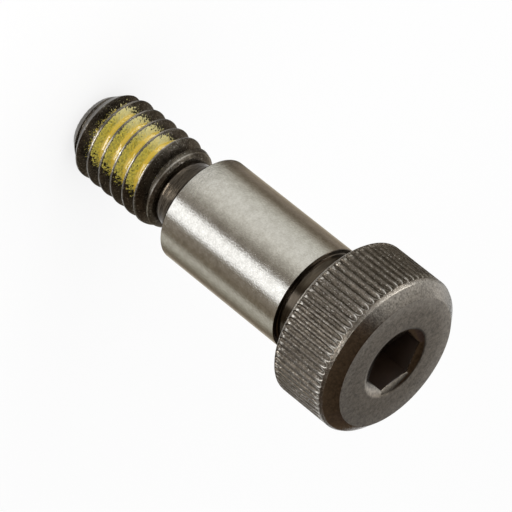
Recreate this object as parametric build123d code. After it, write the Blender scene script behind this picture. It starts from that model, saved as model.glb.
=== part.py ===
from build123d import *
from math import ceil, cos, isclose, radians, tan
import os

# Socket head shoulder bolt: 3/8 in shoulder, 5/16-18 thread and a nylon locking patch.
# Lengths are in millimetres. The bolt stands on its threaded end: the origin is the centre of
# that end, and +Z runs along the axis to the head.

# Lengths along the axis
head_height = 6.35
shoulder_length = 15.9  # from the bearing face under the head to the end of the shoulder
thread_length = 12.6  # from the end of the shoulder to the threaded end

# Shoulder, with the relief neck that the grinding wheel runs out into
shoulder_diameter = 9.47
shoulder_neck_relief = 0.435  # how far the neck lies below the ground surface
shoulder_neck_width = 2.52
shoulder_near_chamfer = 0.1
shoulder_far_chamfer = 0.25
under_head_chamfer = 0.3

# Head: a broad bevel round the top, then the rim, with shallow knurl grooves between plain rings
head_diameter = 14.2
bevel_width = 0.955
bevel_height = 0.8
rim_lead_width = 0.17  # slope between the bevel and the rim
rim_lead_height = 0.32
head_rear_chamfer = 0.2
knurl_groove_count = 72
knurl_depth = 0.13
knurl_groove_width = 0.46  # at the rim
knurl_floor_width = 0.2
knurl_front_land = 1.22  # from the top of the head to the grooves
knurl_rear_land = 0.3  # from the bearing face to the grooves

# Hexagon socket for a 3/16 in key
socket_across_flats = 4.8
socket_depth = 3.9
socket_point_angle = 118.0
countersink_lip = 0.5  # from the corners of the socket to the rim of the countersink
countersink_angle = 146.0

# Unified 60 degree thread, 18 to the inch, with the neck behind it
thread_diameter = 7.87
thread_pitch = 25.4 / 18
thread_angle = 60.0
crest_flat = thread_pitch / 8
root_flat = thread_pitch / 8
thread_start_angle = 77.4  # degrees about Z where the middle of the groove leaves the end face
thread_neck_relief = 0.01  # how far the neck lies below the root of the thread
thread_neck_width = 2.4
thread_neck_fillet = 0.5
thread_runout_length = 1.2  # over which the last ridge falls, as far as its corner
thread_runout_drop = 0.365
last_corner_length = 0.3  # from the last ridge down to the end face beside the neck
last_corner_depth = 0.29
end_chamfer_length = 1.68
end_chamfer_depth = 1.235

# Nylon locking patch, fused into the thread groove over one side
patch_angle = 116.0
patch_direction = 268.0  # degrees about Z to the middle of the patch
patch_first_turn = 3  # turns of the groove, counted from the threaded end
patch_turns = 4
patch_below_crest = 0.12

# Worked out
total_length = head_height + shoulder_length + thread_length
bearing_z = thread_length + shoulder_length
shoulder_neck_z = bearing_z - shoulder_neck_width
thread_neck_z = thread_length - thread_neck_width
last_corner_z = thread_neck_z - last_corner_length
full_thread_z = last_corner_z - thread_runout_length
last_ridge_radius = thread_diameter / 2 - thread_runout_drop
thread_depth = (thread_pitch - crest_flat - root_flat) / 2 / tan(radians(thread_angle / 2))
thread_root_radius = thread_diameter / 2 - thread_depth
shoulder_neck_radius = shoulder_diameter / 2 - shoulder_neck_relief
thread_neck_radius = thread_root_radius - thread_neck_relief
overcut = 0.08  # how far a cutter stands out of the surface that it cuts


def turned(points):
    """A solid of revolution about Z from (radius, height) corners that start and end on the axis."""
    outline = make_face(Plane.XZ * Polyline(*points, close=True))
    return revolve(outline, Axis.Z)


def knurl_grooves():
    """The grooves of the knurl, all round the rim, with a plain ring left above and below them."""
    root_radius = head_diameter / 2 - knurl_depth
    mouth_radius = head_diameter / 2 + overcut
    half_floor = knurl_floor_width / 2
    flank_slope = (knurl_groove_width - knurl_floor_width) / 2 / knurl_depth
    half_mouth = half_floor + (knurl_depth + overcut) * flank_slope
    groove = make_face(Polyline(
        (root_radius, half_floor), (mouth_radius, half_mouth),
        (mouth_radius, -half_mouth), (root_radius, -half_floor), close=True))
    all_round = Sketch() + PolarLocations(0, knurl_groove_count) * groove
    groove_length = head_height - knurl_front_land - knurl_rear_land
    return Pos(0, 0, bearing_z + knurl_rear_land) * extrude(all_round, groove_length)


def socket():
    """The hexagon, its drill point and the countersink at its mouth."""
    hexagon = RegularPolygon(socket_across_flats / 2, 6, major_radius=False, rotation=30)
    floor_z = total_length - socket_depth
    recess = Pos(0, 0, floor_z) * extrude(hexagon, socket_depth + overcut)
    point_radius = socket_across_flats / 2
    point_height = point_radius / tan(radians(socket_point_angle / 2))
    point = turned([(0, floor_z - point_height), (point_radius, floor_z), (0, floor_z)])
    slope = tan(radians(countersink_angle / 2))
    mouth_radius = socket_across_flats / 2 / cos(radians(30)) + countersink_lip
    cone_tip_z = total_length - mouth_radius / slope
    countersink = turned([(0, cone_tip_z), (mouth_radius + overcut * slope, total_length + overcut),
                          (0, total_length + overcut)])
    return recess + point + countersink


def head():
    """The knurled head with its bevel and its socket."""
    top_z = total_length
    bevel_z = top_z - bevel_height
    lead_radius = head_diameter / 2 - rim_lead_width
    blank = turned([
        (0, bearing_z),
        (head_diameter / 2 - head_rear_chamfer, bearing_z),
        (head_diameter / 2, bearing_z + head_rear_chamfer),
        (head_diameter / 2, bevel_z - rim_lead_height),
        (lead_radius, bevel_z),
        (lead_radius - bevel_width, top_z),
        (0, top_z),
    ])
    return blank - knurl_grooves() - socket()


def shoulder():
    """The ground shoulder and the relief neck under the head."""
    radius = shoulder_diameter / 2
    return turned([
        (0, thread_length),
        (radius - shoulder_far_chamfer, thread_length),
        (radius, thread_length + shoulder_far_chamfer),
        (radius, shoulder_neck_z - shoulder_near_chamfer),
        (radius - shoulder_near_chamfer, shoulder_neck_z),
        (shoulder_neck_radius, shoulder_neck_z),
        (shoulder_neck_radius, bearing_z - under_head_chamfer),
        (shoulder_neck_radius + under_head_chamfer, bearing_z),
        (0, bearing_z),
    ])


def thread_blank():
    """The threaded end before threading: chamfer, full diameter, run-out, last corner and neck."""
    return turned([
        (0, 0),
        (thread_diameter / 2 - end_chamfer_depth, 0),
        (thread_diameter / 2, end_chamfer_length),
        (thread_diameter / 2, full_thread_z),
        (last_ridge_radius, last_corner_z),
        (last_ridge_radius - last_corner_depth, thread_neck_z),
        (thread_neck_radius, thread_neck_z),
        (thread_neck_radius, thread_length),
        (0, thread_length),
    ])


def thread_groove():
    """The helical V groove as a row of single turns, from below the end into the neck's free space."""
    start_z = -thread_pitch * (1 + thread_start_angle / 360)
    turns = ceil((thread_neck_z + thread_pitch / 2 - start_z) / thread_pitch)
    path = Pos(0, 0, start_z) * Helix(thread_pitch, thread_pitch, thread_root_radius)
    half_root = root_flat / 2
    depth = thread_depth + overcut
    half_mouth = half_root + depth * tan(radians(thread_angle / 2))
    plane = Plane(origin=path @ 0, x_dir=(1, 0, 0), z_dir=path % 0)
    section = plane * make_face(Polyline(
        (0, -half_root), (depth, -half_mouth), (depth, half_mouth), (0, half_root), close=True))
    one_turn = sweep(section, path, is_frenet=True)
    return [Pos(0, 0, turn * thread_pitch) * one_turn for turn in range(turns)]


def locking_patch():
    """Nylon that fills some turns of the groove over one side, to just below the crests."""
    inner_radius = thread_root_radius - overcut
    outer_radius = thread_diameter / 2 - patch_below_crest
    section = Plane.XZ * make_face(Polyline(
        (inner_radius, 0), (outer_radius, 0),
        (outer_radius, thread_length), (inner_radius, thread_length), close=True))
    sector = Rot(0, 0, patch_direction - patch_angle / 2) * revolve(section, Axis.Z, patch_angle)
    filled = thread_groove()[patch_first_turn:patch_first_turn + patch_turns]
    return Part() + [sector & turn for turn in filled]


def bolt():
    """The whole bolt, one piece of steel, filleted where the thread's neck meets the shoulder."""
    solid = thread_blank() - thread_groove() + shoulder() + head()
    corner = [edge for edge in solid.edges().filter_by(GeomType.CIRCLE)
              if isclose(edge.radius, thread_neck_radius, abs_tol=1e-3)
              and isclose(edge.center().Z, thread_length, abs_tol=1e-3)]
    return fillet(corner, thread_neck_fillet)


os.makedirs("parts", exist_ok=True)
export_step(bolt(), "parts/bolt.step")
export_step(locking_patch(), "parts/locking_patch.step")
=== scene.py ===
from math import atan2, cos, pi, radians, sin, sqrt, tan

import bmesh
import bpy
import numpy as np
from mathutils import Matrix, Vector


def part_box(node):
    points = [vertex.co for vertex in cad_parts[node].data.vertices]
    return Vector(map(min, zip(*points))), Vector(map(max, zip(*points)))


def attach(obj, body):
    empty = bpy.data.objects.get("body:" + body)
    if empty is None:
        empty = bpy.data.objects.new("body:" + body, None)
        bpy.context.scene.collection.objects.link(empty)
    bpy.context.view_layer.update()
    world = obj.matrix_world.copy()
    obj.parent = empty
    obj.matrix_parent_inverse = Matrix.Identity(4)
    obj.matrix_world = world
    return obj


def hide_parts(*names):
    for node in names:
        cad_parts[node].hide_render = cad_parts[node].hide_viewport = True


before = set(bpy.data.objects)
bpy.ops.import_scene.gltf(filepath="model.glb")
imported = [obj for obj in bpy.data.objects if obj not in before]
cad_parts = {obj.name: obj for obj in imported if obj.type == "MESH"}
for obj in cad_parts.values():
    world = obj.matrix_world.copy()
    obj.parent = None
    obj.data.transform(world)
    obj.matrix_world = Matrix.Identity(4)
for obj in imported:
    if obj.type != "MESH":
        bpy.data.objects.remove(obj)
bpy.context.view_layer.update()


# ---- Head ------------------------------------------------------------------------------------
# The cold-forged head of a socket head shoulder bolt, in black-oxided alloy steel. The rim is
# rolled with a straight knurl for the fingers, the top has a broad bevel, and a punched
# hexagon with a countersunk mouth takes the key.

MM = 0.001
top_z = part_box("bolt")[1].z
bearing_z = top_z - 6.35 * MM
head_radius = 7.1 * MM
face_radius = 5.975 * MM
ridge_radius = 6.93 * MM  # between the bevel and the lead to the rim
ridge_z = top_z - 0.8 * MM
lead_z = top_z - 0.86 * MM  # from here down the finish is the rim's
rim_z = top_z - 1.12 * MM
face_round = 0.08 * MM
ridge_round = 0.3 * MM
rim_round = 0.15 * MM
rear_chamfer = 0.2 * MM
bevel_slope, lead_slope = 50, 28  # degrees that the bevel and the lead face up from level
knurl_grooves = 72
knurl_columns = 16  # for each groove
socket_flats = 4.8 * MM
socket_depth = 3.9 * MM
drill_point_angle = 118
mouth_radius = 3.27 * MM
mouth_round = 1.0 * MM
countersink_slope = 17  # degrees
countersink_drop = 0.306  # millimetres down for each millimetre in


def tone(code):
    """The linear colour of an sRGB hex value."""
    parts = [int(code[place:place + 2], 16) / 255 for place in (1, 3, 5)]
    return [c / 12.92 if c <= 0.04045 else ((c + 0.055) / 1.055) ** 2.4 for c in parts] + [1.0]


def add(tree, kind, *values, out=0, **settings):
    """Adds one node, sets its settings, fills its inputs in order or by name, returns an output."""
    node = tree.nodes.new(kind)
    for name, value in settings.items():
        setattr(node, name, value)
    pairs = []
    for place, value in enumerate(values):
        pairs += list(value.items()) if isinstance(value, dict) else [(place, value)]
    for place, value in pairs:
        if isinstance(value, bpy.types.NodeSocket):
            tree.links.new(value, node.inputs[place])
        elif value is not None:
            node.inputs[place].default_value = value
    return node.outputs[out] if node.outputs else node


def placed(name, data):
    """A new object with this data, linked into the scene."""
    piece = bpy.data.objects.new(name, data)
    bpy.context.scene.collection.objects.link(piece)
    return piece


def around(columns):
    """The angles of a turned skin's columns."""
    return np.arange(columns) * 2 * pi / columns


def turned(name, rows, columns):
    """A closed skin about Z through (radius, height, wear) rows, from axis to axis.

    A radius or a height may be an array, with a value for each column.
    """
    angle = around(columns)
    points, wear = [], []
    for radius, height, worn in rows[1:-1]:
        ring = np.column_stack([
            np.cos(angle) * radius, np.sin(angle) * radius, np.zeros(columns) + height])
        points.append(ring)
        wear.append(np.zeros(columns) + worn)
    points = np.concatenate(points + [np.array([[0, 0, rows[0][1]], [0, 0, rows[-1][1]]])])
    wear = np.concatenate(wear + [np.array([rows[0][2], rows[-1][2]])])
    start, end = len(points) - 2, len(points) - 1
    last = (len(rows) - 3) * columns
    faces = []
    for column in range(columns):
        beside = (column + 1) % columns
        faces.append((start, beside, column))
        for row in range(len(rows) - 3):
            lower, upper = row * columns, (row + 1) * columns
            faces.append((lower + column, lower + beside, upper + beside, upper + column))
        faces.append((last + column, last + beside, end))
    mesh = bpy.data.meshes.new(name)
    mesh.from_pydata(points.tolist(), [], faces)
    shell = bmesh.new()
    shell.from_mesh(mesh)
    bmesh.ops.recalc_face_normals(shell, faces=shell.faces)
    shell.to_mesh(mesh)
    shell.free()
    mesh.attributes.new("wear", "FLOAT", "POINT").data.foreach_set("value", wear.astype(np.float32))
    return placed(name, mesh)


def rounded(radius, height, first, last, size, worn, steps=5):
    """Rows that round a corner between two slopes, which face so many degrees up from level."""
    share = size / (1 + cos(radians(last - first)))
    ways = np.radians(np.linspace(first, last, steps))
    inwards = share * (cos(ways[0]) + cos(ways[-1]))
    down = share * (sin(ways[0]) + sin(ways[-1]))
    return [(radius - inwards + size * cos(way), height - down + size * sin(way), worn)
            for way in ways]


def new_tree(name, inputs):
    """A geometry tree with a geometry input and output, and its named inputs."""
    tree = bpy.data.node_groups.new(name, "GeometryNodeTree")
    tree.interface.new_socket("Geometry", in_out="INPUT", socket_type="NodeSocketGeometry")
    for label, kind in inputs:
        tree.interface.new_socket(label, in_out="INPUT", socket_type="NodeSocket" + kind)
    tree.interface.new_socket("Geometry", in_out="OUTPUT", socket_type="NodeSocketGeometry")
    return tree, tree.nodes.new("NodeGroupInput").outputs


def end_tree(tree, given, geometry):
    """Ends a tree with its instances made real and its material set."""
    solid = add(tree, "GeometryNodeRealizeInstances", geometry)
    add(tree, "NodeGroupOutput", add(tree, "GeometryNodeSetMaterial", {
        "Geometry": solid, "Material": given["Material"]}))


def make_plain(piece, tree, values, sharp):
    """Runs a tree on a piece with these input values and leaves a plain smooth mesh."""
    modifier = piece.modifiers.new(tree.name, "NODES")
    modifier.node_group = tree
    for socket in tree.interface.items_tree:
        if socket.in_out == "INPUT" and socket.name in values:
            modifier[socket.identifier] = values[socket.name]
    depsgraph = bpy.context.evaluated_depsgraph_get()
    mesh = bpy.data.meshes.new_from_object(
        piece.evaluated_get(depsgraph), preserve_all_data_layers=True, depsgraph=depsgraph)
    piece.modifiers.clear()
    piece.data = mesh
    smooth(mesh, sharp)


def smooth(mesh, sharp):
    """Shades a mesh smooth except over edges sharper than this many degrees."""
    mesh.polygons.foreach_set("use_smooth", [True] * len(mesh.polygons))
    mesh.set_sharp_from_angle(angle=radians(sharp))


def new_material(name):
    """A new material, its node tree and its shader."""
    material = bpy.data.materials.new(name)
    material.use_nodes = True
    return material, material.node_tree, material.node_tree.nodes["Principled BSDF"]


def black_oxide(name, roughest, relief, flecked, drawn=1.0, shades=("#433D36", "#6B645B")):
    """Hot black oxide on alloy steel: a dark warm metal, mottled, and paler where it is worn.

    Turned parts have drawn below 1, which draws the mottle out into lathe marks round the axis.
    """
    material, tree, shader = new_material(name)
    place = add(tree, "ShaderNodeTexCoord", out=3)
    place = add(tree, "ShaderNodeVectorMath", place, (drawn, drawn, 1.0), operation="MULTIPLY")
    # oil and oxide mottle about 0.4 mm across, the etched grain, drawn about 0.15 mm across so
    # that it shows, and flecks about 0.1 mm across where the oxide is rubbed off
    mottle = add(tree, "ShaderNodeTexNoise", {"Vector": place, "Scale": 2500.0, "Detail": 4.0})
    grain = add(tree, "ShaderNodeTexNoise", {"Vector": place, "Scale": 6500.0, "Detail": 3.0,
                                             "Roughness": 0.65})
    fleck = add(tree, "ShaderNodeTexNoise", {"Vector": place, "Scale": 9000.0, "Detail": 1.0})
    fleck = add(tree, "ShaderNodeMapRange", {"Value": fleck, "From Min": 0.62, "From Max": 0.72,
                                             "To Max": flecked})
    worn = add(tree, "ShaderNodeAttribute", attribute_name="wear", out=2)
    worn = add(tree, "ShaderNodeMath", worn, fleck, operation="ADD")
    worn = add(tree, "ShaderNodeMath", worn,
               add(tree, "ShaderNodeMapRange", grain, 0.3, 0.7, 0.4, 1.6), operation="MULTIPLY",
               use_clamp=True)
    patchy = add(tree, "ShaderNodeMath", mottle, grain, operation="ADD")
    base = add(tree, "ShaderNodeMix", {
        0: add(tree, "ShaderNodeMapRange", patchy, 0.75, 1.25, 0.0, 1.0),
        6: tone(shades[0]), 7: tone(shades[1])}, data_type="RGBA", out=2)
    colour = add(tree, "ShaderNodeMix", {0: worn, 6: base, 7: tone("#D0CDC7")},
                 data_type="RGBA", out=2)
    tree.links.new(colour, shader.inputs["Base Color"])
    shader.inputs["Metallic"].default_value = 1.0
    rough = add(tree, "ShaderNodeMapRange", {"Value": mottle, "To Min": roughest - 0.12,
                                             "To Max": roughest})
    rough = add(tree, "ShaderNodeMix", {0: worn, 2: rough, 3: 0.24})
    tree.links.new(rough, shader.inputs["Roughness"])
    bump = add(tree, "ShaderNodeBump", {"Strength": relief, "Distance": 0.00003, "Height": grain})
    tree.links.new(bump, shader.inputs["Normal"])
    return material


def socket_oxide_painted_shade():
    """Painted shade: black oxide in the blind socket, painted nearly black, in dull brown blotches.
    """
    material, tree, shader = new_material("oily_black_oxide")
    # blotches of the painted shade, about 0.7 mm across
    shade_blotch = add(tree, "ShaderNodeTexNoise", {"Vector": add(tree, "ShaderNodeTexCoord", out=3),
                                             "Scale": 1500.0})
    base = add(tree, "ShaderNodeMix", {0: shade_blotch, 6: tone("#140C07"), 7: tone("#261B13")},
               data_type="RGBA", out=2)
    tree.links.new(base, shader.inputs["Base Color"])
    shader.inputs["Roughness"].default_value = 0.35
    return material


oxide = black_oxide("black_oxide_steel", roughest=0.42, relief=0.35, flecked=0.05)

# the skin from the point of the socket out over the top, down the rim and in under the head,
# with the rows of the rim closer where the grooves end
turn = around(knurl_grooves * knurl_columns)
hexagon = socket_flats / 2 / np.cos((turn + pi / 6) % (pi / 3) - pi / 6)
socket_floor = top_z - socket_depth
countersunk = top_z - (mouth_radius - hexagon) * countersink_drop
head_rows = [
    (0, socket_floor - socket_flats / 2 / tan(radians(drill_point_angle / 2)), 0),
    (socket_flats / 2, socket_floor, 0),
    (hexagon, socket_floor, 0),
    (hexagon, countersunk - 0.05 * MM, 0),
    (hexagon + 0.02 * MM, countersunk + 0.012 * MM, 0.1),
]
head_rows += rounded(mouth_radius, top_z, 90 + countersink_slope, 90, mouth_round, 0)
head_rows.append((4.6 * MM, top_z, 0))
head_rows += rounded(face_radius, top_z, 90, bevel_slope, face_round, 0.1, 4)
head_rows += rounded(ridge_radius, ridge_z, bevel_slope, lead_slope, ridge_round, 0.2)
head_rows += rounded(head_radius, rim_z, lead_slope, 0, rim_round, 0.05, 4)
rim_rows = np.concatenate([
    np.linspace(1.18, 1.76, 16, endpoint=False), np.linspace(1.76, 5.46, 16, endpoint=False),
    np.linspace(5.46, 6.08, 11)]) * MM
head_rows += [(head_radius, top_z - drop, 0) for drop in rim_rows]
head_rows += rounded(head_radius, bearing_z + rear_chamfer, 0, -45, rim_round, 0.1, 3)
head_rows += [
    (head_radius - rear_chamfer, bearing_z, 0),
    (5.2 * MM, bearing_z, 0),
    (0, bearing_z, 0),
]
head = turned("head", head_rows, len(turn))

# the straight knurl: shallow grooves with narrow worn crests between them and round ends
knurl, given = new_tree("straight knurl", [
    ("Grooves", "Float"), ("Rim Radius", "Float"), ("Groove Depth", "Float"),
    ("Groove Width", "Float"), ("Upper End", "Float"), ("Lower End", "Float"),
    ("Rise", "Float"), ("Unevenness", "Float"), ("Seed", "Float"), ("Material", "Material")])
place = add(knurl, "GeometryNodeInputPosition")
axes = add(knurl, "ShaderNodeSeparateXYZ", place).node.outputs
flat_place = add(knurl, "ShaderNodeCombineXYZ", axes[0], axes[1], 0.0)
radius = add(knurl, "ShaderNodeVectorMath", flat_place, operation="LENGTH", out=1)
outward = add(knurl, "ShaderNodeVectorMath", flat_place, operation="NORMALIZE")
on_rim = add(knurl, "FunctionNodeCompare", radius,
             add(knurl, "ShaderNodeMath", given["Rim Radius"], 0.01 * MM, operation="SUBTRACT"))
angle = add(knurl, "ShaderNodeMath", axes[1], axes[0], operation="ARCTAN2")
turns = add(knurl, "ShaderNodeMath",
            add(knurl, "ShaderNodeMath", angle, given["Grooves"], operation="MULTIPLY"),
            2 * pi, operation="DIVIDE")
groove = add(knurl, "ShaderNodeMath", turns, operation="ROUND")
pitch = add(knurl, "ShaderNodeMath",
            add(knurl, "ShaderNodeMath", given["Rim Radius"], 2 * pi, operation="MULTIPLY"),
            given["Grooves"], operation="DIVIDE")
across = add(knurl, "ShaderNodeMath",
             add(knurl, "ShaderNodeMath", turns, groove, operation="SUBTRACT"),
             pitch, operation="MULTIPLY")
across = add(knurl, "ShaderNodeMath", across, operation="ABSOLUTE")
# each groove differs a little in depth and in where it ends
chance = add(knurl, "ShaderNodeTexWhiteNoise", {
    "W": add(knurl, "ShaderNodeMath",
             add(knurl, "ShaderNodeMath", groove, given["Grooves"], operation="FLOORED_MODULO"),
             given["Seed"], operation="ADD")},
    noise_dimensions="1D", out=1)
chances = add(knurl, "ShaderNodeSeparateXYZ", chance).node.outputs
upper_end = add(knurl, "ShaderNodeMath", given["Upper End"],
                add(knurl, "ShaderNodeMapRange", chances[0], 0.0, 1.0, -0.05 * MM, 0.03 * MM),
                operation="ADD")
lower_end = add(knurl, "ShaderNodeMath", given["Lower End"],
                add(knurl, "ShaderNodeMapRange", chances[1], 0.0, 1.0, -0.03 * MM, 0.06 * MM),
                operation="ADD")
deepest = add(knurl, "ShaderNodeMath", given["Groove Depth"],
              add(knurl, "ShaderNodeMapRange", chances[2], 0.0, 1.0, 0.9, 1.08),
              operation="MULTIPLY")
past_upper = add(knurl, "ShaderNodeMath", axes[2], upper_end, operation="SUBTRACT")
past_lower = add(knurl, "ShaderNodeMath", lower_end, axes[2], operation="SUBTRACT")
past_end = add(knurl, "ShaderNodeMath", past_upper, past_lower, operation="MAXIMUM")
rise = add(knurl, "ShaderNodeMath",
           add(knurl, "ShaderNodeMath",
               add(knurl, "ShaderNodeMath", past_end, given["Rise"], operation="DIVIDE"),
               1.0, operation="ADD"),
           0.0, operation="MAXIMUM")
narrowing = add(knurl, "ShaderNodeMath",
                add(knurl, "ShaderNodeMath",
                    add(knurl, "ShaderNodeMath", rise, rise, operation="MULTIPLY"),
                    -1.0, 1.0, operation="MULTIPLY_ADD"),
                0.0, operation="MAXIMUM")
narrowing = add(knurl, "ShaderNodeMath", narrowing, operation="SQRT")
half_width = add(knurl, "ShaderNodeMath", given["Groove Width"], 0.5, operation="MULTIPLY")
within = add(knurl, "ShaderNodeMath",
             add(knurl, "ShaderNodeMath", narrowing, half_width, operation="MULTIPLY"),
             across, operation="SUBTRACT")
within = add(knurl, "ShaderNodeMath", within,
             add(knurl, "ShaderNodeMath", past_end, 0.0, operation="MAXIMUM"),
             operation="SUBTRACT")
# an uneven surface, in lumps about 0.25 mm across
ragged = add(knurl, "ShaderNodeTexNoise", {"Vector": place, "Scale": 4200.0, "Detail": 3.0})
ragged = add(knurl, "ShaderNodeMath", ragged, 0.5, operation="SUBTRACT")
within = add(knurl, "ShaderNodeMath", ragged, given["Unevenness"], within,
             operation="MULTIPLY_ADD")
sunk = add(knurl, "ShaderNodeMath", within, 0.0, 0.02 * MM, operation="SMOOTH_MAX")
sunk = add(knurl, "ShaderNodeMath", sunk, deepest, 0.04 * MM, operation="SMOOTH_MIN")
sunk = add(knurl, "ShaderNodeMath", ragged, 0.03 * MM, sunk, operation="MULTIPLY_ADD")
# the oxide is rubbed off round the grooves' upper ends, along the crests and at their lower ends
lip = add(knurl, "ShaderNodeMapRange",
          add(knurl, "ShaderNodeMath", within, operation="ABSOLUTE"),
          0.01 * MM, 0.06 * MM, 1.0, 0.0)
lip = add(knurl, "ShaderNodeMath", lip,
          add(knurl, "ShaderNodeMapRange", past_upper, -0.7 * MM, -0.35 * MM, 0.0, 0.9),
          operation="MULTIPLY")
crest = add(knurl, "ShaderNodeMapRange", within, 0.02 * MM, -0.03 * MM, 0.0, 1.0)
crest_wear = add(knurl, "ShaderNodeMapRange",
                 add(knurl, "ShaderNodeMath", past_upper, -0.3 * MM, operation="GREATER_THAN"),
                 0.0, 1.0, 0.06, 0.0)
bead = add(knurl, "ShaderNodeMapRange",
           add(knurl, "ShaderNodeMath",
               add(knurl, "ShaderNodeMath", past_lower, 0.36 * MM, operation="ADD"),
               operation="ABSOLUTE"),
           0.04 * MM, 0.14 * MM, 0.9, 0.0)
crest = add(knurl, "ShaderNodeMath", crest,
            add(knurl, "ShaderNodeMath", crest_wear, bead, operation="MAXIMUM"),
            operation="MULTIPLY")
edge_wear = add(knurl, "ShaderNodeMath", lip, crest, operation="MAXIMUM")
kept = add(knurl, "GeometryNodeInputNamedAttribute", {"Name": "wear"})
wear = add(knurl, "GeometryNodeSwitch", on_rim, kept, edge_wear, input_type="FLOAT")
marked = add(knurl, "GeometryNodeStoreNamedAttribute", {
    "Geometry": given["Geometry"], "Name": "wear", "Value": wear})
moved = add(knurl, "GeometryNodeSetPosition", {
    "Geometry": marked, "Selection": on_rim,
    "Offset": add(knurl, "ShaderNodeVectorMath", {
        0: outward, "Scale": add(knurl, "ShaderNodeMath", sunk, -1.0, operation="MULTIPLY")},
        operation="SCALE")})
end_tree(knurl, given, moved)
make_plain(head, knurl, {
    "Grooves": float(knurl_grooves), "Rim Radius": head_radius, "Groove Depth": 0.13 * MM,
    "Groove Width": 0.46 * MM, "Upper End": top_z - 1.13 * MM,
    "Lower End": bearing_z + 0.12 * MM, "Rise": 0.5 * MM, "Unevenness": 0.08 * MM,
    "Seed": 11.0, "Material": oxide}, sharp=60)

rim_slot, countersink_slot, socket_slot, bevel_slot = 1, 2, 3, 4  # after the plain oxide
for material in (
        black_oxide("knurled_black_oxide_steel", roughest=0.42, relief=1.0, flecked=0.45),
        black_oxide("drilled_black_oxide_steel", roughest=0.19, relief=0.15, flecked=0.0),
        # the socket's oxide, painted nearly black for the shade in it
        socket_oxide_painted_shade(),
        black_oxide("bevelled_black_oxide_steel", roughest=0.28, relief=0.5, flecked=0.1)):
    head.data.materials.append(material)
# the rim takes the knurled finish, the bevel and countersink their own, the socket painted shade
for facet in head.data.polygons:
    reach = sqrt(facet.center.x ** 2 + facet.center.y ** 2)
    down = top_z - facet.center.z
    if reach > head_radius - 0.3 * MM and facet.center.z < lead_z:
        facet.material_index = rim_slot
    elif reach > face_radius:
        facet.material_index = bevel_slot
    elif reach < mouth_radius and down > 0.01 * MM:
        in_hexagon = down > 0.3 * MM or reach < socket_flats / 2 / cos(pi / 6) * 0.9
        facet.material_index = socket_slot if in_hexagon else countersink_slot
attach(head, "root")
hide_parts("bolt")


# ---- Shoulder --------------------------------------------------------------------------------
# The plain shaft that the joint turns on, ground to size all round after the bolt was hardened
# and blackened, so it is bare bright steel. The neck behind it under the head, and the neck in
# front of the thread, were turned before that and keep their black oxide.

shoulder_radius = 4.735 * MM
shoulder_neck_radius = 4.3 * MM
shoulder_end_z = 12.6 * MM
shoulder_neck_z = bearing_z - 2.52 * MM
end_corner = 0.25 * MM
near_chamfer = 0.05 * MM
thread_neck_radius = 3.0085 * MM
neck_fillet = 0.5 * MM
thread_neck_z = shoulder_end_z - 2.4 * MM
neck_lap = 0.2 * MM  # how far the neck runs on inside the thread
neck_corner = 0.06 * MM
under_head_chamfer = 0.3 * MM
fillet_steps = 8
shoulder_steps = 8
shank_columns = 288

shank_rows = [
    (0, thread_neck_z - neck_lap, 0),
    (thread_neck_radius - 0.04 * MM, thread_neck_z - neck_lap, 0),
    (thread_neck_radius, thread_neck_z - 0.12 * MM, 0),
    (thread_neck_radius, thread_neck_z + 0.6 * MM, 0),
]
for step in range(fillet_steps + 1):
    bend = step / fillet_steps * pi / 2
    shank_rows.append((thread_neck_radius + neck_fillet * (1 - cos(bend)),
                       shoulder_end_z - neck_fillet * (1 - sin(bend)), 0))
shank_rows += [(shoulder_radius - end_corner, shoulder_end_z, 0),
               (shoulder_radius, shoulder_end_z + end_corner, 0)]
for share in np.linspace(0, 1, shoulder_steps + 1)[1:-1]:
    shank_rows.append((shoulder_radius, shoulder_end_z + end_corner + share * (
        shoulder_neck_z - near_chamfer - shoulder_end_z - end_corner), 0))
shank_rows += [
    (shoulder_radius, shoulder_neck_z - near_chamfer, 0),
    (shoulder_radius - near_chamfer, shoulder_neck_z, 0),
    (shoulder_neck_radius + neck_corner, shoulder_neck_z, 0),
    (shoulder_neck_radius, shoulder_neck_z + neck_corner, 0),
    (shoulder_neck_radius, bearing_z - under_head_chamfer, 0),
    (shoulder_neck_radius + 0.09 * MM, bearing_z - 0.09 * MM, 0),
    (shoulder_neck_radius + under_head_chamfer, bearing_z + 0.02 * MM, 0),
    (0, bearing_z + 0.4 * MM, 0),
]
shank = turned("shank", shank_rows, shank_columns)
smooth(shank.data, 40)


def ground_steel():
    """Hardened steel after fine cylindrical grinding: pale and bright, and a little grainy."""
    material, tree, shader = new_material("ground_alloy_steel")
    place = add(tree, "ShaderNodeTexCoord", out=3)
    # the marks of the grit are too fine to show, so they are drawn as a grain about 0.15 mm
    # across, with faint clouds about 0.5 mm across
    grain = add(tree, "ShaderNodeTexNoise", {"Vector": place, "Scale": 6500.0, "Detail": 4.0})
    blotch = add(tree, "ShaderNodeTexNoise", {"Vector": place, "Scale": 1800.0, "Detail": 4.0})
    speck = add(tree, "ShaderNodeMath", blotch, grain, operation="ADD")
    base = add(tree, "ShaderNodeMix", {
        0: add(tree, "ShaderNodeMapRange", speck, 0.75, 1.25, 0.0, 1.0),
        6: tone("#BDBBB6"), 7: tone("#D3D2CE")}, data_type="RGBA", out=2)
    tree.links.new(base, shader.inputs["Base Color"])
    shader.inputs["Metallic"].default_value = 1.0
    rough = add(tree, "ShaderNodeMapRange", {"Value": blotch, "To Min": 0.16, "To Max": 0.22})
    tree.links.new(rough, shader.inputs["Roughness"])
    bump = add(tree, "ShaderNodeBump", {"Strength": 0.6, "Distance": 0.00002, "Height": grain})
    tree.links.new(bump, shader.inputs["Normal"])
    return material


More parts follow.
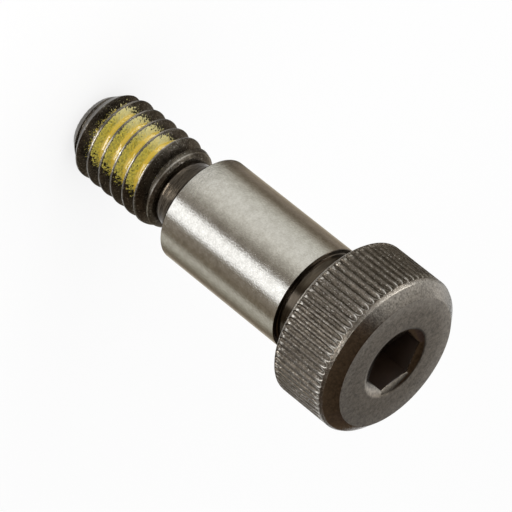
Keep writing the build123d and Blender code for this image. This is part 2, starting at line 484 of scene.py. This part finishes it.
shank.data.materials.append(black_oxide(
    "turned_black_oxide_steel", roughest=0.2, relief=0.5, flecked=0.05, drawn=0.12,
    shades=("#3B352E", "#5D554B")))
shank.data.materials.append(ground_steel())
for facet in shank.data.polygons:
    reach = sqrt(facet.center.x ** 2 + facet.center.y ** 2)
    ground = reach > shoulder_radius - 0.02 * MM and facet.center.z < shoulder_neck_z - near_chamfer
    facet.material_index = int(ground)
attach(shank, "root")
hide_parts("bolt")


# ---- Threaded end ----------------------------------------------------------------------------
# The 5/16-18 thread, rolled between dies, so its crests and roots are a little round. A long
# chamfer starts it in the hole, and it runs out down a cone into the neck. Black oxide covers
# it, rubbed paler along the crests.

thread_pitch = 25.4 / 18 * MM
crest_radius = 3.935 * MM
thread_depth = 0.9165 * MM
first_crest = 0.402 * MM  # height of the crest line over the X axis
thread_rows_a_turn = 32
thread_columns = 200
cap_width = 0.5 * MM  # of the grid, which closes onto the axis at each end
lead_turns = 1.75  # of the grid, below the first crest
all_turns = 10.0

section_sizes = {
    "Pitch": thread_pitch, "Crest Radius": crest_radius, "Thread Depth": thread_depth,
    "End Radius": 2.69 * MM, "Chamfer Length": 1.68 * MM, "Runout Start": 8.7 * MM,
    "Runout End": 9.9 * MM, "Last Radius": 3.57 * MM, "Corner End": 10.2 * MM,
    "Corner Drop": 0.29 * MM, "Rounding": 0.35}
section, given = new_tree("thread section", [
    ("Turn", "Float"), ("Height", "Float")] + [(label, "Float") for label in section_sizes])
section.interface.new_socket("Radius", in_out="OUTPUT", socket_type="NodeSocketFloat")
section.interface.new_socket("Crest", in_out="OUTPUT", socket_type="NodeSocketFloat")
from_crest = add(section, "ShaderNodeMath", given["Turn"], 0.5, operation="PINGPONG")
straight = add(section, "ShaderNodeMapRange", from_crest, 1 / 16, 7 / 16, 0.0, 1.0)
curved = add(section, "ShaderNodeMapRange", from_crest, 0.0, 0.5, 0.0, 1.0,
             interpolation_type="SMOOTHSTEP")
depth_share = add(section, "ShaderNodeMix", {0: given["Rounding"], 2: straight, 3: curved})
flank = add(section, "ShaderNodeMath",
            add(section, "ShaderNodeMath", given["Thread Depth"], depth_share,
                operation="MULTIPLY"),
            -1.0, given["Crest Radius"], operation="MULTIPLY_ADD")
chamfer = add(section, "ShaderNodeMapRange", given["Height"], 0.0, given["Chamfer Length"],
              given["End Radius"], given["Crest Radius"])
runout = add(section, "ShaderNodeMapRange", given["Height"], given["Runout Start"],
             given["Runout End"], given["Crest Radius"], given["Last Radius"])
corner = add(section, "ShaderNodeMapRange", given["Height"], given["Runout End"],
             given["Corner End"], 0.0, given["Corner Drop"])
runout = add(section, "ShaderNodeMath", runout, corner, operation="SUBTRACT")
lowest = add(section, "ShaderNodeMath",
             add(section, "ShaderNodeMath", flank, chamfer, operation="MINIMUM"),
             runout, operation="MINIMUM")
on_crest = add(section, "ShaderNodeMath", 1.0, depth_share, operation="SUBTRACT")
add(section, "NodeGroupOutput", {"Radius": lowest, "Crest": on_crest})


def section_node(tree, given, turn, height):
    """The thread's radius, and how near it is to a crest, from the shared section."""
    values = {label: given[label] for label in section_sizes}
    values.update({"Turn": turn, "Height": height})
    return add(tree, "GeometryNodeGroup", values, node_tree=section, out=1).node.outputs


thread, given = new_tree("rolled thread", [
    (label, "Float") for label in section_sizes] + [
    ("First Crest", "Float"), ("Length", "Float"), ("Lead Turns", "Float"),
    ("Turns", "Float"), ("Cap Width", "Float"), ("Columns", "Int"), ("Rows", "Int"),
    ("Material", "Material")])
sheet = add(thread, "GeometryNodeMeshGrid", 1.0, 1.0, given["Columns"], given["Rows"])
axes = add(thread, "ShaderNodeSeparateXYZ", add(thread, "GeometryNodeInputPosition")).node.outputs
round_share = add(thread, "ShaderNodeMath", axes[0], 0.5, operation="ADD")
angle = add(thread, "ShaderNodeMath", round_share, 2 * pi, operation="MULTIPLY")
row_share = add(thread, "ShaderNodeMath", axes[1], 0.5, operation="ADD")
turn_number = add(thread, "ShaderNodeMath",
                  add(thread, "ShaderNodeMath", row_share, given["Turns"], operation="MULTIPLY"),
                  given["Lead Turns"], operation="SUBTRACT")
free_height = add(thread, "ShaderNodeMath",
                  add(thread, "ShaderNodeMath", turn_number, round_share, operation="ADD"),
                  given["Pitch"], given["First Crest"], operation="MULTIPLY_ADD")
height = add(thread, "ShaderNodeClamp", free_height, 0.0, given["Length"])
beyond = add(thread, "ShaderNodeMath",
             add(thread, "ShaderNodeMath", free_height, height, operation="SUBTRACT"),
             operation="ABSOLUTE")
closing = add(thread, "ShaderNodeMapRange", beyond, 0.0, given["Cap Width"], 1.0, 0.0)
outer = section_node(thread, given, turn_number, height)
radius = add(thread, "ShaderNodeMath", outer["Radius"], closing, operation="MULTIPLY")
spot = add(thread, "ShaderNodeCombineXYZ",
           add(thread, "ShaderNodeMath",
               add(thread, "ShaderNodeMath", angle, operation="COSINE"), radius,
               operation="MULTIPLY"),
           add(thread, "ShaderNodeMath",
               add(thread, "ShaderNodeMath", angle, operation="SINE"), radius,
               operation="MULTIPLY"),
           height)
# the oxide is rubbed off along the crests, and more on the corner where the run-out ends
worn = add(thread, "ShaderNodeMapRange", outer["Crest"], 0.97, 1.0, 0.0, 0.07)
corner_wear = add(thread, "ShaderNodeMapRange",
                  add(thread, "ShaderNodeMath",
                      add(thread, "ShaderNodeMath", height, given["Runout End"],
                          operation="SUBTRACT"), operation="ABSOLUTE"),
                  0.02 * MM, 0.07 * MM, 0.4, 0.0)
worn = add(thread, "ShaderNodeMath", worn, corner_wear, operation="MAXIMUM")
marked = add(thread, "GeometryNodeStoreNamedAttribute", {
    "Geometry": sheet, "Name": "wear", "Value": worn})
shaped = add(thread, "GeometryNodeSetPosition", {"Geometry": marked, "Position": spot})
closed = add(thread, "GeometryNodeMergeByDistance", {"Geometry": shaped, "Distance": 0.001 * MM})
end_tree(thread, given, closed)

rolled_oxide = black_oxide("rolled_black_oxide_steel", roughest=0.38, relief=0.8, flecked=0.4,
                           shades=("#35302A", "#625C53"))
threaded_end = placed("threaded_end", bpy.data.meshes.new("threaded_end"))
make_plain(threaded_end, thread, {
    **section_sizes, "First Crest": first_crest, "Length": thread_neck_z,
    "Lead Turns": lead_turns, "Turns": all_turns, "Cap Width": cap_width,
    "Columns": thread_columns + 1, "Rows": int(all_turns * thread_rows_a_turn) + 1,
    "Material": rolled_oxide}, sharp=35)
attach(threaded_end, "root")
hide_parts("bolt")


# ---- Nylon locking patch ---------------------------------------------------------------------
# Yellow nylon powder fused into four turns of the thread over one side, so that it grips the
# nut. It lies thick and glossy in the roots, thins out up the flanks and breaks up at its edges
# into specks that let the black steel through.

patch, given = new_tree("nylon patch", [
    (label, "Float") for label in section_sizes] + [
    ("First Crest", "Float"), ("Middle", "Float"), ("Half Span", "Float"),
    ("First Turn", "Float"), ("Last Turn", "Float"), ("Margin", "Float"), ("Fill", "Float"),
    ("Film", "Float"), ("Speckle", "Float"), ("Seed", "Float"), ("Columns", "Int"),
    ("Rows", "Int"), ("Material", "Material")])
sheet = add(patch, "GeometryNodeMeshGrid", 1.0, 1.0, given["Columns"], given["Rows"])
axes = add(patch, "ShaderNodeSeparateXYZ", add(patch, "GeometryNodeInputPosition")).node.outputs
# across runs from -1 to 1 over the grid, along from the first turn to the last with a margin
across = add(patch, "ShaderNodeMath", axes[0], 2.0, operation="MULTIPLY")
angle = add(patch, "ShaderNodeMath", across, given["Half Span"], given["Middle"],
            operation="MULTIPLY_ADD")
low_turn = add(patch, "ShaderNodeMath", given["First Turn"], 1.0, operation="SUBTRACT")
high_turn = add(patch, "ShaderNodeMath", given["Last Turn"], given["Margin"], operation="ADD")
turn_number = add(patch, "ShaderNodeMapRange", axes[1], -0.5, 0.5, low_turn, high_turn)
height = add(patch, "ShaderNodeMath",
             add(patch, "ShaderNodeMath",
                 add(patch, "ShaderNodeMath", angle, 2 * pi, operation="DIVIDE"),
                 turn_number, operation="ADD"),
             given["Pitch"], given["First Crest"], operation="MULTIPLY_ADD")
steel_section = section_node(patch, given, turn_number, height)
steel = steel_section["Radius"]
direction = add(patch, "ShaderNodeCombineXYZ",
                add(patch, "ShaderNodeMath", angle, operation="COSINE"),
                add(patch, "ShaderNodeMath", angle, operation="SINE"), 0.0)
axis_place = add(patch, "ShaderNodeCombineXYZ", 0.0, 0.0, height)
steel_place = add(patch, "ShaderNodeVectorMath", direction, steel, axis_place,
                  operation="MULTIPLY_ADD")
coarse = add(patch, "ShaderNodeTexNoise", {
    "Vector": steel_place, "W": given["Seed"], "Scale": 1500.0, "Detail": 2.0},
    noise_dimensions="4D")
fine = add(patch, "ShaderNodeTexNoise", {
    "Vector": steel_place, "W": given["Seed"], "Scale": 6500.0, "Detail": 2.0,
    "Roughness": 0.6}, noise_dimensions="4D")
# how far inside the patch a point lies: 1 well inside, below 0 outside
side_reach = add(patch, "ShaderNodeMapRange",
                 add(patch, "ShaderNodeMath", across, operation="ABSOLUTE"),
                 0.38, 1.04, 1.0, -0.5)
turn_reach = add(patch, "ShaderNodeMath",
                 add(patch, "ShaderNodeMapRange", turn_number,
                     add(patch, "ShaderNodeMath", given["First Turn"], 0.1,
                         operation="SUBTRACT"),
                     add(patch, "ShaderNodeMath", given["First Turn"], 0.1, operation="ADD"),
                     0.1, 1.0),
                 add(patch, "ShaderNodeMapRange", turn_number,
                     add(patch, "ShaderNodeMath", given["Last Turn"], 0.1,
                         operation="SUBTRACT"),
                     add(patch, "ShaderNodeMath", given["Last Turn"], 0.05, operation="ADD"),
                     1.0, -0.5),
                 operation="MINIMUM")
reach = add(patch, "ShaderNodeMath", side_reach, turn_reach, operation="MINIMUM")
# the film breaks up beside the crests, and on the flanks it ends sooner than in the roots
from_crest = add(patch, "ShaderNodeMath", turn_number, 0.5, operation="PINGPONG")
beside_crest = add(patch, "ShaderNodeMapRange", from_crest, 0.0, 0.22, -0.6, 0.0)
on_flank = add(patch, "ShaderNodeMath",
               add(patch, "ShaderNodeMapRange", from_crest, 0.08, 0.42, -0.7, 0.0),
               add(patch, "ShaderNodeMapRange", reach, 0.0, 1.0, 1.0, 0.0),
               operation="MULTIPLY")
valley = add(patch, "ShaderNodeMath", beside_crest, on_flank, operation="ADD")
flank_reach = add(patch, "ShaderNodeMath", reach, valley, operation="ADD")
ragged = add(patch, "ShaderNodeMapRange", fine, 0.3, 0.7, -0.7, 0.7)
inside = add(patch, "ShaderNodeMath", ragged, flank_reach, operation="ADD")
cover = add(patch, "ShaderNodeMapRange", inside, 0.0, 0.35, 0.0, 1.0,
            interpolation_type="SMOOTHSTEP")
thick = add(patch, "ShaderNodeMapRange", reach, 0.0, 1.0, 0.35, 1.0)
film = add(patch, "ShaderNodeMath",
           add(patch, "ShaderNodeMapRange", fine, 0.3, 0.7,
               add(patch, "ShaderNodeMath", given["Speckle"], -1.0, operation="MULTIPLY"),
               given["Speckle"]),
           add(patch, "ShaderNodeMath", given["Film"], thick, operation="MULTIPLY"),
           operation="ADD")
# the nylon runs together in the root to a level, and up the flanks in a hollow curve
filled = add(patch, "ShaderNodeMath", given["Fill"], thick, operation="MULTIPLY")
fill = add(patch, "ShaderNodeMath",
           add(patch, "ShaderNodeMath", 1.0, filled, operation="SUBTRACT"),
           given["Thread Depth"], operation="MULTIPLY")
fill = add(patch, "ShaderNodeMath", given["Crest Radius"], fill, operation="SUBTRACT")
fill = add(patch, "ShaderNodeMath",
           add(patch, "ShaderNodeMapRange", coarse, 0.3, 0.7, -0.04 * MM, 0.02 * MM), fill,
           operation="ADD")
bare_crest = add(patch, "ShaderNodeMapRange",
                 add(patch, "ShaderNodeMath", ragged, 0.2, steel_section["Crest"],
                     operation="MULTIPLY_ADD"), 0.93, 1.03, 0.0, 0.08 * MM)
coated = add(patch, "ShaderNodeMath", steel, film, operation="ADD")
surface = add(patch, "ShaderNodeMath", coated, fill, 0.3 * MM, operation="SMOOTH_MAX")
surface = add(patch, "ShaderNodeMath", surface, bare_crest, operation="SUBTRACT")
# outside the patch its skin dips under the steel, and there its hem closes on its underside
sunk = add(patch, "ShaderNodeMath", steel, 0.05 * MM, operation="SUBTRACT")
surface = add(patch, "ShaderNodeMix", {0: cover, 2: sunk, 3: surface})
inner = add(patch, "ShaderNodeMath", steel, 0.25 * MM, operation="SUBTRACT")
hem = add(patch, "ShaderNodeMath",
          add(patch, "ShaderNodeMapRange",
              add(patch, "ShaderNodeMath", axes[0], operation="ABSOLUTE"),
              0.494, 0.5, 1.0, 0.0),
          add(patch, "ShaderNodeMapRange",
              add(patch, "ShaderNodeMath", axes[1], operation="ABSOLUTE"),
              0.494, 0.5, 1.0, 0.0),
          operation="MINIMUM")
outer = add(patch, "ShaderNodeMix", {0: hem, 2: inner, 3: surface})
outside = add(patch, "GeometryNodeStoreNamedAttribute", {
    "Geometry": sheet, "Name": "nylon_depth",
    "Value": add(patch, "ShaderNodeMath", outer, steel, operation="SUBTRACT")})
outside = add(patch, "GeometryNodeStoreNamedAttribute", {
    "Geometry": outside, "Name": "nylon_reach", "Value": flank_reach})
outside = add(patch, "GeometryNodeStoreNamedAttribute", {
    "Geometry": outside, "Name": "nylon_side", "Value": across})
outside = add(patch, "GeometryNodeSetPosition", {
    "Geometry": outside, "Position": add(patch, "ShaderNodeVectorMath", direction, outer,
                                         axis_place, operation="MULTIPLY_ADD")})
underside = add(patch, "GeometryNodeFlipFaces", add(patch, "GeometryNodeSetPosition", {
    "Geometry": sheet, "Position": add(patch, "ShaderNodeVectorMath", direction, inner,
                                       axis_place, operation="MULTIPLY_ADD")}))
joined = patch.nodes.new("GeometryNodeJoinGeometry")
patch.links.new(underside, joined.inputs[0])
patch.links.new(outside, joined.inputs[0])
closed = add(patch, "GeometryNodeMergeByDistance", {
    "Geometry": joined.outputs[0], "Distance": 0.0005 * MM})
end_tree(patch, given, closed)


def fused_nylon():
    """Fused yellow nylon 11: glossy and a little see-through, so a thin film looks olive."""
    material, tree, shader = new_material("fused_yellow_nylon")
    place = add(tree, "ShaderNodeTexCoord", out=3)
    depth = add(tree, "ShaderNodeAttribute", attribute_name="nylon_depth", out=2)
    reach = add(tree, "ShaderNodeAttribute", attribute_name="nylon_reach", out=2)
    # fused grains about 0.15 mm across, and pinholes in the film on the flanks
    grain = add(tree, "ShaderNodeTexNoise", {"Vector": place, "Scale": 6500.0, "Detail": 3.0})
    pinhole = add(tree, "ShaderNodeTexNoise", {"Vector": place, "Scale": 8500.0, "Detail": 2.0})
    body = add(tree, "ShaderNodeMapRange", {"Value": depth, "From Min": 0.02 * MM,
                                            "From Max": 0.14 * MM})
    film = add(tree, "ShaderNodeMix", {
        0: add(tree, "ShaderNodeMapRange", grain, 0.38, 0.64, 0.0, 1.0),
        6: tone("#B9AD48"), 7: tone("#7B7530")}, data_type="RGBA", out=2)
    # painted sheen: the film is painted pale on one side of the patch, for a highlight
    painted_sheen = add(tree, "ShaderNodeMapRange",
                add(tree, "ShaderNodeAttribute", attribute_name="nylon_side", out=2),
                -0.12, -0.4, 0.0, 0.6)
    film = add(tree, "ShaderNodeMix", {0: painted_sheen, 6: film, 7: tone("#DCD6A4")},
               data_type="RGBA", out=2)
    colour = add(tree, "ShaderNodeMix", {0: body, 6: film, 7: tone("#CDAE34")},
                 data_type="RGBA", out=2)
    held = add(tree, "ShaderNodeMath", pinhole,
               add(tree, "ShaderNodeMapRange", reach, 0.0, 1.0, 0.08, 0.34), operation="ADD")
    bare = add(tree, "ShaderNodeMapRange", held, 0.45, 0.58, 0.9, 0.0)
    colour = add(tree, "ShaderNodeMix", {0: bare, 6: colour, 7: tone("#29251C")},
                 data_type="RGBA", out=2)
    tree.links.new(colour, shader.inputs["Base Color"])
    tree.links.new(add(tree, "ShaderNodeMapRange", body, 0.0, 1.0, 0.34, 0.12),
                   shader.inputs["Roughness"])
    shader.inputs["IOR"].default_value = 1.53
    bump = add(tree, "ShaderNodeBump", {"Strength": 0.3, "Distance": 0.00002, "Height": grain})
    tree.links.new(bump, shader.inputs["Normal"])
    return material


nylon = placed("nylon_patch", bpy.data.meshes.new("nylon_patch"))
make_plain(nylon, patch, {
    **section_sizes, "First Crest": first_crest, "Middle": radians(266.0),
    "Half Span": radians(78.0), "First Turn": 1.0, "Last Turn": 5.0, "Margin": 0.6,
    "Fill": 0.28, "Film": 0.03 * MM, "Speckle": 0.05 * MM, "Seed": 3.0, "Columns": 240,
    "Rows": 190, "Material": fused_nylon()}, sharp=180)
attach(nylon, "root")
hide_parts("locking_patch")


# ---- Studio ----------------------------------------------------------------------------------
# A plain white floor and plain soft light. Round the bolt stand a tent dome and a low tent wall
# that only its gloss sees: white cloth with dark flags, which give the bare steel its bands.

floor_reach = 3.0  # metres each way


def seen_outright(tree):
    """1 where the camera, gloss or glass looks, and 0 where a dull surface gathers light."""
    seen = add(tree, "ShaderNodeLightPath").node.outputs
    return add(tree, "ShaderNodeMath",
               add(tree, "ShaderNodeMath", seen["Is Camera Ray"], seen["Is Glossy Ray"],
                   operation="MAXIMUM"),
               seen["Is Transmission Ray"], operation="MAXIMUM")


floor_mesh = bpy.data.meshes.new("floor")
floor_mesh.from_pydata([(-floor_reach, -floor_reach, 0), (floor_reach, -floor_reach, 0),
                        (floor_reach, floor_reach, 0), (-floor_reach, floor_reach, 0)],
                       [], [(0, 1, 2, 3)])
floor = placed("floor", floor_mesh)
paper, tree, shader = new_material("white_paper_floor")
tree.nodes.remove(shader)
dull = add(tree, "ShaderNodeBsdfDiffuse", tone("#FFFFFF"))
glow = add(tree, "ShaderNodeEmission", tone("#FFFFFF"), 1.0)
share = add(tree, "ShaderNodeMath", seen_outright(tree), 0.75, operation="MULTIPLY")
tree.links.new(add(tree, "ShaderNodeMixShader", share, dull, glow),
               tree.nodes["Material Output"].inputs["Surface"])
floor_mesh.materials.append(paper)

world = bpy.data.worlds.new("studio")
bpy.context.scene.world = world
world.use_nodes = True
tree = world.node_tree
level = add(tree, "ShaderNodeMapRange", seen_outright(tree), 0.0, 1.0, 0.85, 1.0)
background = tree.nodes["Background"]
background.inputs["Color"].default_value = tone("#FFFFFF")
tree.links.new(level, background.inputs["Strength"])


def tent(name, rings, columns):
    """Stages a skin about Z through (radius, height) rings that gloss alone sees.

    Returns the node tree of its cloth, which has no shader yet.
    """
    angle = around(columns)
    points = np.concatenate([np.column_stack([
        np.cos(angle) * radius, np.sin(angle) * radius, np.zeros(columns) + height])
        for radius, height in rings])
    faces = [(row * columns + column, row * columns + (column + 1) % columns,
              (row + 1) * columns + (column + 1) % columns, (row + 1) * columns + column)
             for row in range(len(rings) - 1) for column in range(columns)]
    mesh = bpy.data.meshes.new(name)
    mesh.from_pydata(points.tolist(), [], faces)
    skin = placed(name, mesh)
    for kind in ("camera", "diffuse", "transmission", "volume_scatter", "shadow"):
        setattr(skin, "visible_" + kind, False)
    cloth, tree, shader = new_material(name + "_cloth")
    tree.nodes.remove(shader)
    mesh.materials.append(cloth)
    return tree


# the dome: a bright soft box on the left, white cloth behind, a front light, dark elsewhere
dome_radius = 200 * MM
rings = [(dome_radius * cos(lift), dome_radius * sin(lift))
         for lift in np.radians(np.linspace(-2, 89.9, 24))]
tree = tent("tent_dome", rings, 48)
place = add(tree, "ShaderNodeTexCoord", out=3)
axes = add(tree, "ShaderNodeSeparateXYZ",
           add(tree, "ShaderNodeVectorMath", place, operation="NORMALIZE")).node.outputs
left = add(tree, "ShaderNodeMapRange", axes[0], -0.1, -0.5, 0.0, 1.1,
           interpolation_type="SMOOTHSTEP")
behind = add(tree, "ShaderNodeMapRange", axes[1], 0.45, 0.7, 0.0, 1.0,
             interpolation_type="SMOOTHSTEP")
behind = add(tree, "ShaderNodeMath", behind,
             add(tree, "ShaderNodeMapRange", axes[0], 0.2, -0.25, 0.1, 1.8), operation="MULTIPLY")
behind = add(tree, "ShaderNodeMath", behind,
             add(tree, "ShaderNodeMapRange", axes[2], 0.22, 0.42, 0.0, 1.0), operation="MULTIPLY")
front = add(tree, "ShaderNodeMapRange", axes[1], -0.6, -0.8, 0.0, 1.2,
            interpolation_type="SMOOTHSTEP")
low = add(tree, "ShaderNodeMapRange", axes[2], 0.5, 0.35, 0.0, 1.0,
          interpolation_type="SMOOTHSTEP")
front = add(tree, "ShaderNodeMath", front, low, operation="MULTIPLY")
aside = add(tree, "ShaderNodeMath", axes[0], axes[1], operation="ARCTAN2")
strip = add(tree, "ShaderNodeMapRange",
            add(tree, "ShaderNodeMath",
                add(tree, "ShaderNodeMath", aside, radians(152), operation="SUBTRACT"),
                operation="ABSOLUTE"),
            radians(5), radians(8), 16.0, 0.0)
strip = add(tree, "ShaderNodeMath", strip, low, operation="MULTIPLY")
front = add(tree, "ShaderNodeMath", front, strip, operation="MAXIMUM")
box_width = add(tree, "ShaderNodeMath",
                add(tree, "ShaderNodeMapRange", axes[1], -0.6, -0.5, 0.0, 1.0),
                add(tree, "ShaderNodeMapRange", axes[1], 0.15, 0.05, 0.0, 1.0),
                operation="MULTIPLY")
box_height = add(tree, "ShaderNodeMath",
                 add(tree, "ShaderNodeMapRange", axes[2], 0.38, 0.46, 1.2, 6.0),
                 add(tree, "ShaderNodeMapRange", axes[2], 0.58, 0.68, 6.0, 1.2),
                 operation="MINIMUM")
on_left = add(tree, "ShaderNodeMapRange", axes[0], -0.42, -0.5, 0.0, 1.0)
soft_box = add(tree, "ShaderNodeMath",
               add(tree, "ShaderNodeMath", box_width, box_height, operation="MULTIPLY"),
               on_left, operation="MULTIPLY")
light = add(tree, "ShaderNodeMath",
            add(tree, "ShaderNodeMath", left, behind, operation="MAXIMUM"),
            add(tree, "ShaderNodeMath", front, soft_box, operation="MAXIMUM"),
            operation="MAXIMUM")
cloth_light = add(tree, "ShaderNodeVectorMath", {0: (1.0, 0.985, 0.955), "Scale": light},
                  operation="SCALE")
cloth_light = add(tree, "ShaderNodeVectorMath", cloth_light, (0.16, 0.11, 0.07),
                  operation="MAXIMUM")
tree.links.new(add(tree, "ShaderNodeEmission", cloth_light, 1.0),
               tree.nodes["Material Output"].inputs["Surface"])

# the wall: from behind the bolt round to its right, in degrees from +Y, with each stretch's level
wall_radius = 20 * MM
wall_stretches = [
    (0, "#A89F90"), (34, "#C8BFAF"), (42, "#7C7161"), (58, "#7C7161"), (70, "#A8A496"),
    (80, "#C6C2B6"), (91, "#D0CDC1"), (98, "#7A6E5D"), (110, "#7C7161"), (117, "#91877A"),
    (124, "#8A8071"), (131, "#8A8071"), (136, "#FFFFFF"), (163, "#FFFFFF"), (169, "#857C70"),
    (178, "#857C70"), (190, "#BEB9AE"), (204, "#F0EDE4"), (226, "#F9F7F0"), (240, "#F0EEE6"),
    (256, "#DDDBD1"), (266, "#C0BBAF"), (277, "#857A6A"), (286, "#6F6454"), (300, "#93877A"),
    (316, "#938775"), (326, "#B5A997"), (345, "#C8BFAF"), (360, "#A89F90")]
tree = tent("tent_wall", [(wall_radius, 0.2 * MM), (wall_radius, 21 * MM)], 90)
place = add(tree, "ShaderNodeTexCoord", out=3)
axes = add(tree, "ShaderNodeSeparateXYZ", place).node.outputs
angle = add(tree, "ShaderNodeMath", axes[0], axes[1], operation="ARCTAN2")
around_share = add(tree, "ShaderNodeMath",
                   add(tree, "ShaderNodeMath", angle, 2 * pi, operation="DIVIDE"),
                   1.0, operation="FLOORED_MODULO")
ramp = add(tree, "ShaderNodeValToRGB", around_share)
stops = ramp.node.color_ramp.elements
for degrees_round, shade in wall_stretches[1:-1]:
    stops.new(degrees_round / 360).color = tone(shade)
stops[0].color = tone(wall_stretches[0][1])
stops[-1].color = tone(wall_stretches[-1][1])
bright = add(tree, "ShaderNodeSeparateColor", ramp)
strength = add(tree, "ShaderNodeMapRange", bright, 0.96, 1.0, 1.0, 1.6)
# the wall's foot is in shade on the left, which leaves the thread's neck dark on that side
shaded = add(tree, "ShaderNodeMath",
             add(tree, "ShaderNodeMapRange", around_share, 0.49, 0.53, 0.0, 1.0),
             add(tree, "ShaderNodeMapRange", axes[2], 2.4 * MM, 3.4 * MM, 0.7, 0.0),
             operation="MULTIPLY")
strength = add(tree, "ShaderNodeMath", strength,
               add(tree, "ShaderNodeMath", 1.0, shaded, operation="SUBTRACT"),
               operation="MULTIPLY")
tree.links.new(add(tree, "ShaderNodeEmission", ramp, strength),
               tree.nodes["Material Output"].inputs["Surface"])

# strip lights for the gloss of the thread and the bevel, and cards that darken the gloss of the
# head, flat on the floor: how near and far they lie, and from where to where in degrees from +Y
for name, near, far, start, end, shade, level in (
        ("floor_strip", 7 * MM, 15.5 * MM, 139, 173, "#FFFDF8", 11.0),
        ("left_strip", 10 * MM, 14.5 * MM, 214, 265, "#FFFDF8", 5.0),
        ("front_strip", 35 * MM, 195 * MM, 148, 156, "#FFFDF8", 3.0),
        ("floor_card", 35 * MM, 900 * MM, 222, 330, "#8C8578", 1.0),
        ("near_card", 4 * MM, 12 * MM, 275, 350, "#4E463C", 1.0),
        ("far_card", 150 * MM, 900 * MM, 330, 400, "#332D26", 1.0)):
    tree = tent(name, [(near, 0.3 * MM), (far, 0.3 * MM)], 90)
    shell = bmesh.new()
    shell.from_mesh(bpy.data.meshes[name])
    middles = [(face, face.calc_center_median()) for face in shell.faces]
    bmesh.ops.delete(shell, context="FACES", geom=[
        face for face, middle in middles
        if (90 - start - 180 / pi * atan2(middle.y, middle.x)) % 360 > end - start])
    shell.to_mesh(bpy.data.meshes[name])
    shell.free()
    tree.links.new(add(tree, "ShaderNodeEmission", tone(shade), level),
                   tree.nodes["Material Output"].inputs["Surface"])

key_light = bpy.data.lights.new("key_soft_box", "AREA")
key_light.shape = "RECTANGLE"
key_light.size, key_light.size_y = 160 * MM, 100 * MM
key_light.energy = 0.13
key_lamp = placed("key_soft_box", key_light)
key_from = Vector((-0.42, -0.72, 0.55)).normalized()
key_lamp.location = Vector((0, 0, 17 * MM)) + key_from * 200 * MM
key_lamp.rotation_euler = key_from.to_track_quat("Z", "Y").to_euler()
key_lamp.visible_glossy = False  # the dome's soft box stands for it there

camera_data = bpy.data.cameras.new("camera")
camera = placed("camera", camera_data)
camera_data.lens = 314.54
camera_data.sensor_width = 36.0
camera_data.clip_start = 0.01
elevation, roll = radians(29.97), radians(128.68)
aim = Vector((0.308, -0.055, 19.204)) * MM
back = Vector((0, -cos(elevation), sin(elevation)))
upward = Vector((0, sin(elevation), cos(elevation)))
upright = Matrix((Vector((1, 0, 0)), upward, back)).transposed()
camera_distance = 353.55  # millimetres
camera.matrix_world = Matrix.Translation(aim + back * camera_distance * MM) @ (
    upright @ Matrix.Rotation(roll, 3, "Z")).to_4x4()
bpy.context.scene.camera = camera
bpy.context.scene.view_settings.view_transform = "Standard"
